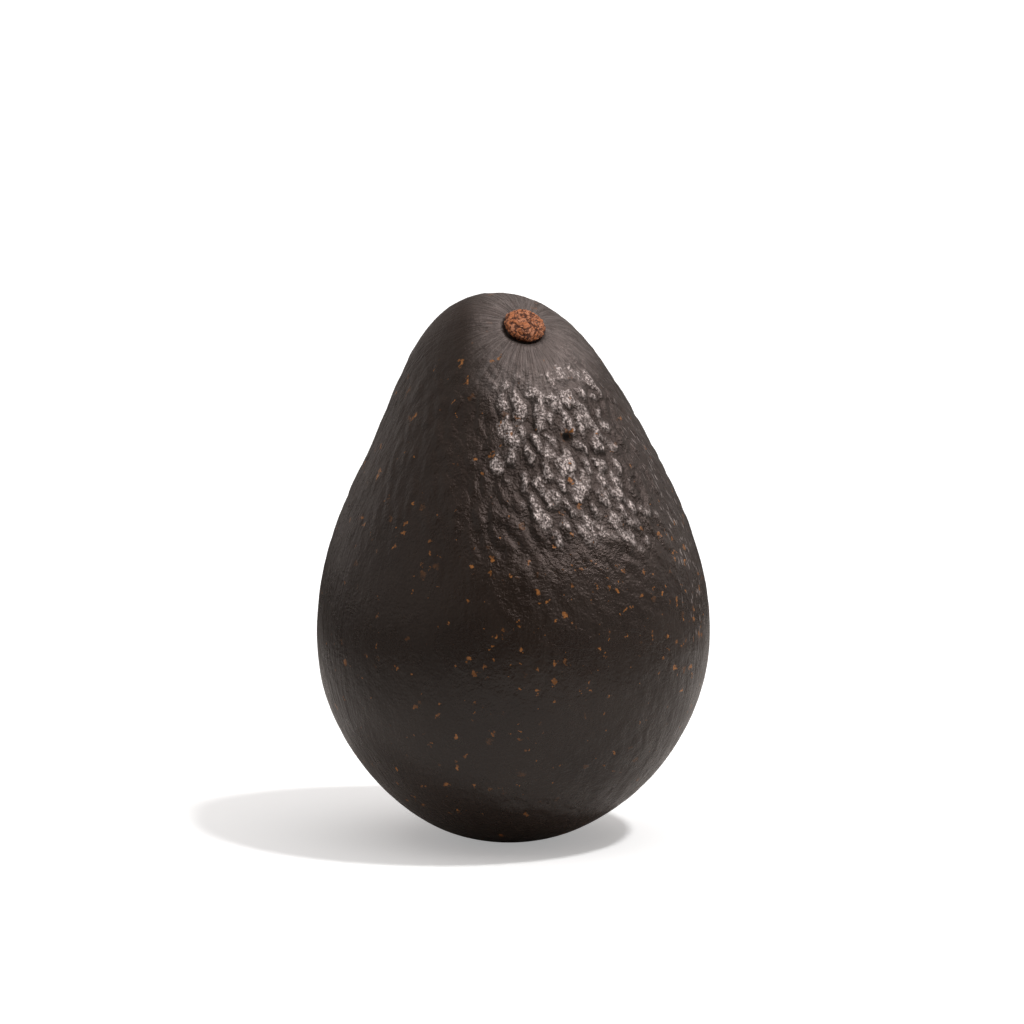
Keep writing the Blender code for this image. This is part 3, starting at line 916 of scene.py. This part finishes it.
def make_world(settings):
    """A white room to the camera. All else sees it dim, and darkest behind the camera and overhead."""
    world = bpy.data.worlds.new("studio_room")
    world.use_nodes = True
    tree = world.node_tree
    tree.nodes.clear()
    way = add_node(tree, "ShaderNodeTexCoord").outputs["Generated"]
    parts = add_node(tree, "ShaderNodeSeparateXYZ", {0: way})
    left = ramp_of(tree, parts.outputs["X"], *ROOM_LEFT_RAMP, settings.room_left)
    right = ramp_of(tree, parts.outputs["X"], *ROOM_RIGHT_RAMP, settings.room_right)
    back = ramp_of(tree, parts.outputs["Y"], *ROOM_BACK_RAMP, settings.room_back)
    sides = math_of(tree, "ADD", left, right)
    room = math_of(tree, "ADD", math_of(tree, "ADD", sides, back), settings.room_front)
    camera_ray = add_node(tree, "ShaderNodeLightPath").outputs["Is Camera Ray"]
    dim = add_node(tree, "ShaderNodeBackground", {"Color": colour(settings.room_colour), "Strength": room})
    seen = add_node(tree, "ShaderNodeBackground", {"Color": (1.0, 1.0, 1.0, 1.0), "Strength": ROOM_SEEN})
    mixed = add_node(tree, "ShaderNodeMixShader", {0: camera_ray, 1: dim.outputs[0], 2: seen.outputs[0]})
    add_node(tree, "ShaderNodeOutputWorld", {"Surface": mixed.outputs[0]})
    bpy.context.scene.world = world


def aimed(place, target):
    """The matrix that stands a light or a camera at a place, looking at a target."""
    turn = (Vector(target) - Vector(place)).to_track_quat("-Z", "Y")
    return Matrix.Translation(place) @ turn.to_matrix().to_4x4()


def add_light(name, kind):
    """A new light in the scene, as its object and its data."""
    light = bpy.data.lights.new(name, kind)
    lamp = bpy.data.objects.new(name, light)
    bpy.context.scene.collection.objects.link(lamp)
    return lamp, light


def make_panel(name, direction, size, radiance, tint):
    """A rectangular light a metre from the fruit, that only shows in its gloss."""
    panel, light = add_light(name, "AREA")
    light.shape = "RECTANGLE"
    light.size = size[0]
    light.size_y = size[1]
    light.energy = radiance * math.pi * size[0] * size[1]
    light.color = tint
    panel.matrix_world = aimed(FRUIT_MIDDLE + Vector(direction).normalized() * PANEL_DISTANCE, FRUIT_MIDDLE)
    panel.visible_diffuse = False
    panel.visible_camera = False
    return panel


def make_gloss_lights(settings):
    """Two panels overhead in line, one at the side, and bright strips from the front round to the right."""
    tint = settings.panel_tint
    make_panel("side_panel", SIDE_PANEL_DIRECTION, SIDE_PANEL_SIZE, settings.side_radiance, tint)
    level = math.cos(STRIP_ELEVATION)
    for index, (degrees, share) in enumerate(zip(STRIP_TURNS, STRIP_SHARES)):
        turn = math.radians(degrees)
        way = (math.sin(turn) * level, -math.cos(turn) * level, math.sin(STRIP_ELEVATION))
        make_panel(f"strip_{index}", way, STRIP_SIZE, settings.strip_radiance * share, tint)
    edge = Matrix.Translation(FRUIT_MIDDLE + Vector((*OVERHEAD_EDGE, PANEL_DISTANCE)))
    turned = edge @ Matrix.Rotation(OVERHEAD_TURN, 4, "Z")
    overhead = make_panel("overhead_panel", (0.0, 0.0, 1.0), OVERHEAD_SIZE, settings.overhead_radiance, tint)
    overhead.matrix_world = turned @ Matrix.Translation((OVERHEAD_SIZE[0] / 2, OVERHEAD_SIZE[1] / 2, 0.0))
    upper = make_panel("upper_panel", (0.0, 0.0, 1.0), UPPER_SIZE, settings.upper_radiance, tint)
    upper.matrix_world = turned @ Matrix.Translation((UPPER_SIZE[0] / 2, -UPPER_SIZE[1] / 2, 0.0))


def make_diffuse_lights(settings):
    """The small lamp whose shadow falls to the left, and a wide one overhead. The gloss sees neither."""
    lamp, light = add_light("key", "SUN")
    light.energy = settings.key_strength
    light.angle = settings.key_angle
    lamp.matrix_world = aimed(FRUIT_MIDDLE + Vector(KEY_DIRECTION).normalized(), FRUIT_MIDDLE)
    lamp.visible_glossy = False
    sky, fill = add_light("fill", "AREA")
    fill.size = FILL_SIZE
    fill.energy = settings.fill_power
    sky.matrix_world = Matrix.Translation((0.0, 0.0, FILL_HEIGHT))
    sky.visible_glossy = False
    sky.visible_camera = False


def make_camera():
    """The photograph's camera: 9 degrees above the fruit, aimed so that it stands low in the picture."""
    camera = bpy.data.cameras.new("camera")
    width_at_fruit = PICTURE_WIDTH * PIXEL_AT_FRUIT
    camera.sensor_width = SENSOR_WIDTH
    camera.lens = SENSOR_WIDTH * CAMERA_DISTANCE / width_at_fruit
    camera.clip_start = 0.01
    back = Vector((0.0, -math.cos(CAMERA_ELEVATION), math.sin(CAMERA_ELEVATION)))
    up = Vector((0.0, math.sin(CAMERA_ELEVATION), math.cos(CAMERA_ELEVATION)))
    pixels_right = FRUIT_MIDDLE_PIXEL[0] - PICTURE_WIDTH / 2
    pixels_down = FRUIT_MIDDLE_PIXEL[1] - PICTURE_WIDTH / 2
    side_step = Vector((-pixels_right * PIXEL_AT_FRUIT, 0.0, 0.0))
    target = FRUIT_MIDDLE + side_step + up * pixels_down * PIXEL_AT_FRUIT
    place = FRUIT_MIDDLE + side_step + back * CAMERA_DISTANCE
    stand = bpy.data.objects.new("camera", camera)
    stand.matrix_world = aimed(place, target)
    bpy.context.scene.collection.objects.link(stand)
    bpy.context.scene.camera = stand


def length_setting(name, description, default):
    return FloatProperty(
        name=name, description=description, default=default, min=0.0, unit="LENGTH", precision=5
    )


def number_setting(name, description, default):
    return FloatProperty(name=name, description=description, default=default, min=0.0)


def share_setting(name, description, default):
    return FloatProperty(
        name=name, description=description, default=default, min=0.0, max=1.0, subtype="FACTOR"
    )


def colour_setting(name, description, default):
    return FloatVectorProperty(
        name=name, description=description, default=default, min=0.0, max=1.0, size=3, subtype="COLOR"
    )


class AvocadoSkinSettings(bpy.types.PropertyGroup):
    pebble_count: IntProperty(name="Pebbles", description="How many on the fruit", default=1400, min=100)
    pebble_height: length_setting("Pebble height", "Height of the boldest over the valleys", 0.95 * MM)
    grain_height: length_setting("Grain height", "Height of the finest grain", 0.52 * MM)
    line_height: length_setting("Line height", "Height of the fine lines that run to the foot", 0.08 * MM)
    wrinkle_height: length_setting("Wrinkle height", "Height of the wrinkles round the button", 0.35 * MM)
    fleck_size: length_setting("Fleck size", "Radius of a middling rusty fleck", 0.52 * MM)
    roughness: share_setting("Roughness", "How dull the pebbles' tops are", 0.14)
    skin_colour: colour_setting("Skin", "The skin's brown-black", (0.0165, 0.0095, 0.0062))
    blotch_colour: colour_setting("Blotches", "Slightly lighter blotches", (0.024, 0.0155, 0.011))
    # Painted shade: the darker colour between the pebbles
    valley_colour: colour_setting("Valleys", "The skin between the pebbles", (0.013, 0.0072, 0.0042))
    # The pale colour of the painted highlight, the painted sheen and the painted streaks
    bloom_colour: colour_setting("Bloom", "The waxy bloom on the pebbles' tops", (0.86, 0.75, 0.717))
    fleck_colour: colour_setting("Flecks", "The rusty flecks", (0.36, 0.14, 0.034))


class AvocadoButtonSettings(bpy.types.PropertyGroup):
    button_sides: IntProperty(name="Sides", description="Faces round the button", default=128, min=24)
    crust_height: length_setting("Crust height", "Height of the crusts over the cracks", 0.20 * MM)
    cork_colour: colour_setting("Cork", "The crusts' orange-brown", (0.44, 0.145, 0.050))
    worn_colour: colour_setting("Worn cork", "Paler worn crusts", (0.52, 0.22, 0.115))
    crack_colour: colour_setting("Cracks", "The cracks' dark brown", (0.05, 0.014, 0.006))


class AvocadoStageSettings(bpy.types.PropertyGroup):
    floor_size: length_setting("Floor size", "Length of the floor's sides", 4.0)
    floor_white: share_setting("Floor white", "The floor's whiteness", 0.9)
    floor_glow: number_setting("Floor glow", "Light that the floor gives off to the camera", 0.33)
    # The painted pool of light on the floor that the fruit sees: its brightest and its far ends
    floor_reflected: share_setting("Near floor", "The near floor's whiteness to all but the camera", 0.60)
    floor_far: share_setting("Far floor", "The far floor's whiteness to all but the camera", 0.06)
    floor_warmth: colour_setting("Floor tint", "The floor's colour in the gloss", (1.0, 0.93, 0.88))
    room_colour: colour_setting("Room", "The room's colour in the gloss", (1.0, 0.89, 0.84))
    room_front: number_setting("Room, front", "Light from behind the camera", 0.08)
    room_left: number_setting("Room, left", "Light added on the left", 0.35)
    room_right: number_setting("Room, right", "Light added on the right", 0.34)
    room_back: number_setting("Room, back", "Light added at the back", 0.12)
    panel_tint: colour_setting("Panel tint", "The panels' colour", (1.0, 0.79, 0.73))
    upper_radiance: number_setting("Upper panel", "How bright the panel high in front is", 0.55)
    side_radiance: number_setting("Side panel", "How bright the side panel is", 0.45)
    strip_radiance: number_setting("Strips", "How bright the strips are", 14.0)
    overhead_radiance: number_setting("Overhead panel", "How bright the overhead panel is", 2.0)
    key_strength: number_setting("Key", "The shadow lamp's strength", 1.7)
    key_angle: FloatProperty(
        name="Key angle", description="How soft the shadow is", default=math.radians(5.0), subtype="ANGLE"
    )
    fill_power: FloatProperty(name="Fill", description="The soft lamp's power", default=18.0, unit="POWER")


class AVOCADO_OT_add_skin(bpy.types.Operator):
    """Makes the pebbled skin in place of the solid fruit"""

    bl_idname = "avocado.add_skin"
    bl_label = "Add Pebbled Skin"
    bl_options = {"REGISTER", "UNDO"}

    def execute(self, context):
        skin = make_skin(context.scene.avocado_skin)
        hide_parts("fruit")
        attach(skin, "root")
        return {"FINISHED"}


class AVOCADO_OT_add_stem_button(bpy.types.Operator):
    """Makes the corky stem button in its pit"""

    bl_idname = "avocado.add_stem_button"
    bl_label = "Add Stem Button"
    bl_options = {"REGISTER", "UNDO"}

    def execute(self, context):
        button = make_button(context.scene.avocado_button)
        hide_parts("stem_button")
        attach(button, "root")
        return {"FINISHED"}


class AVOCADO_OT_add_stage(bpy.types.Operator):
    """Makes the floor, the lights, the room and the camera"""

    bl_idname = "avocado.add_stage"
    bl_label = "Add Studio"
    bl_options = {"REGISTER", "UNDO"}

    def execute(self, context):
        settings = context.scene.avocado_stage
        make_floor(settings)
        make_world(settings)
        make_gloss_lights(settings)
        make_diffuse_lights(settings)
        make_camera()
        context.scene.view_settings.view_transform = "Standard"
        return {"FINISHED"}


class AVOCADO_PT_panel(bpy.types.Panel):
    bl_label = "Avocado"
    bl_idname = "AVOCADO_PT_panel"
    bl_space_type = "VIEW_3D"
    bl_region_type = "UI"
    bl_category = "Avocado"

    def draw(self, context):
        for settings, operator in (
            (context.scene.avocado_skin, AVOCADO_OT_add_skin),
            (context.scene.avocado_button, AVOCADO_OT_add_stem_button),
            (context.scene.avocado_stage, AVOCADO_OT_add_stage),
        ):
            box = self.layout.box()
            for name in settings.__annotations__:
                box.prop(settings, name)
            box.operator(operator.bl_idname)


CLASSES = (
    AvocadoSkinSettings,
    AvocadoButtonSettings,
    AvocadoStageSettings,
    AVOCADO_OT_add_skin,
    AVOCADO_OT_add_stem_button,
    AVOCADO_OT_add_stage,
    AVOCADO_PT_panel,
)


def register():
    for cls in CLASSES:
        bpy.utils.register_class(cls)
    bpy.types.Scene.avocado_skin = PointerProperty(type=AvocadoSkinSettings)
    bpy.types.Scene.avocado_button = PointerProperty(type=AvocadoButtonSettings)
    bpy.types.Scene.avocado_stage = PointerProperty(type=AvocadoStageSettings)


def unregister():
    del bpy.types.Scene.avocado_stage
    del bpy.types.Scene.avocado_button
    del bpy.types.Scene.avocado_skin
    for cls in reversed(CLASSES):
        bpy.utils.unregister_class(cls)


def main():
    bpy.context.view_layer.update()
    register()
    bpy.ops.avocado.add_skin()
    bpy.ops.avocado.add_stem_button()
    bpy.ops.avocado.add_stage()
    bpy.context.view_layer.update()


if __name__ == "__main__":
    main()
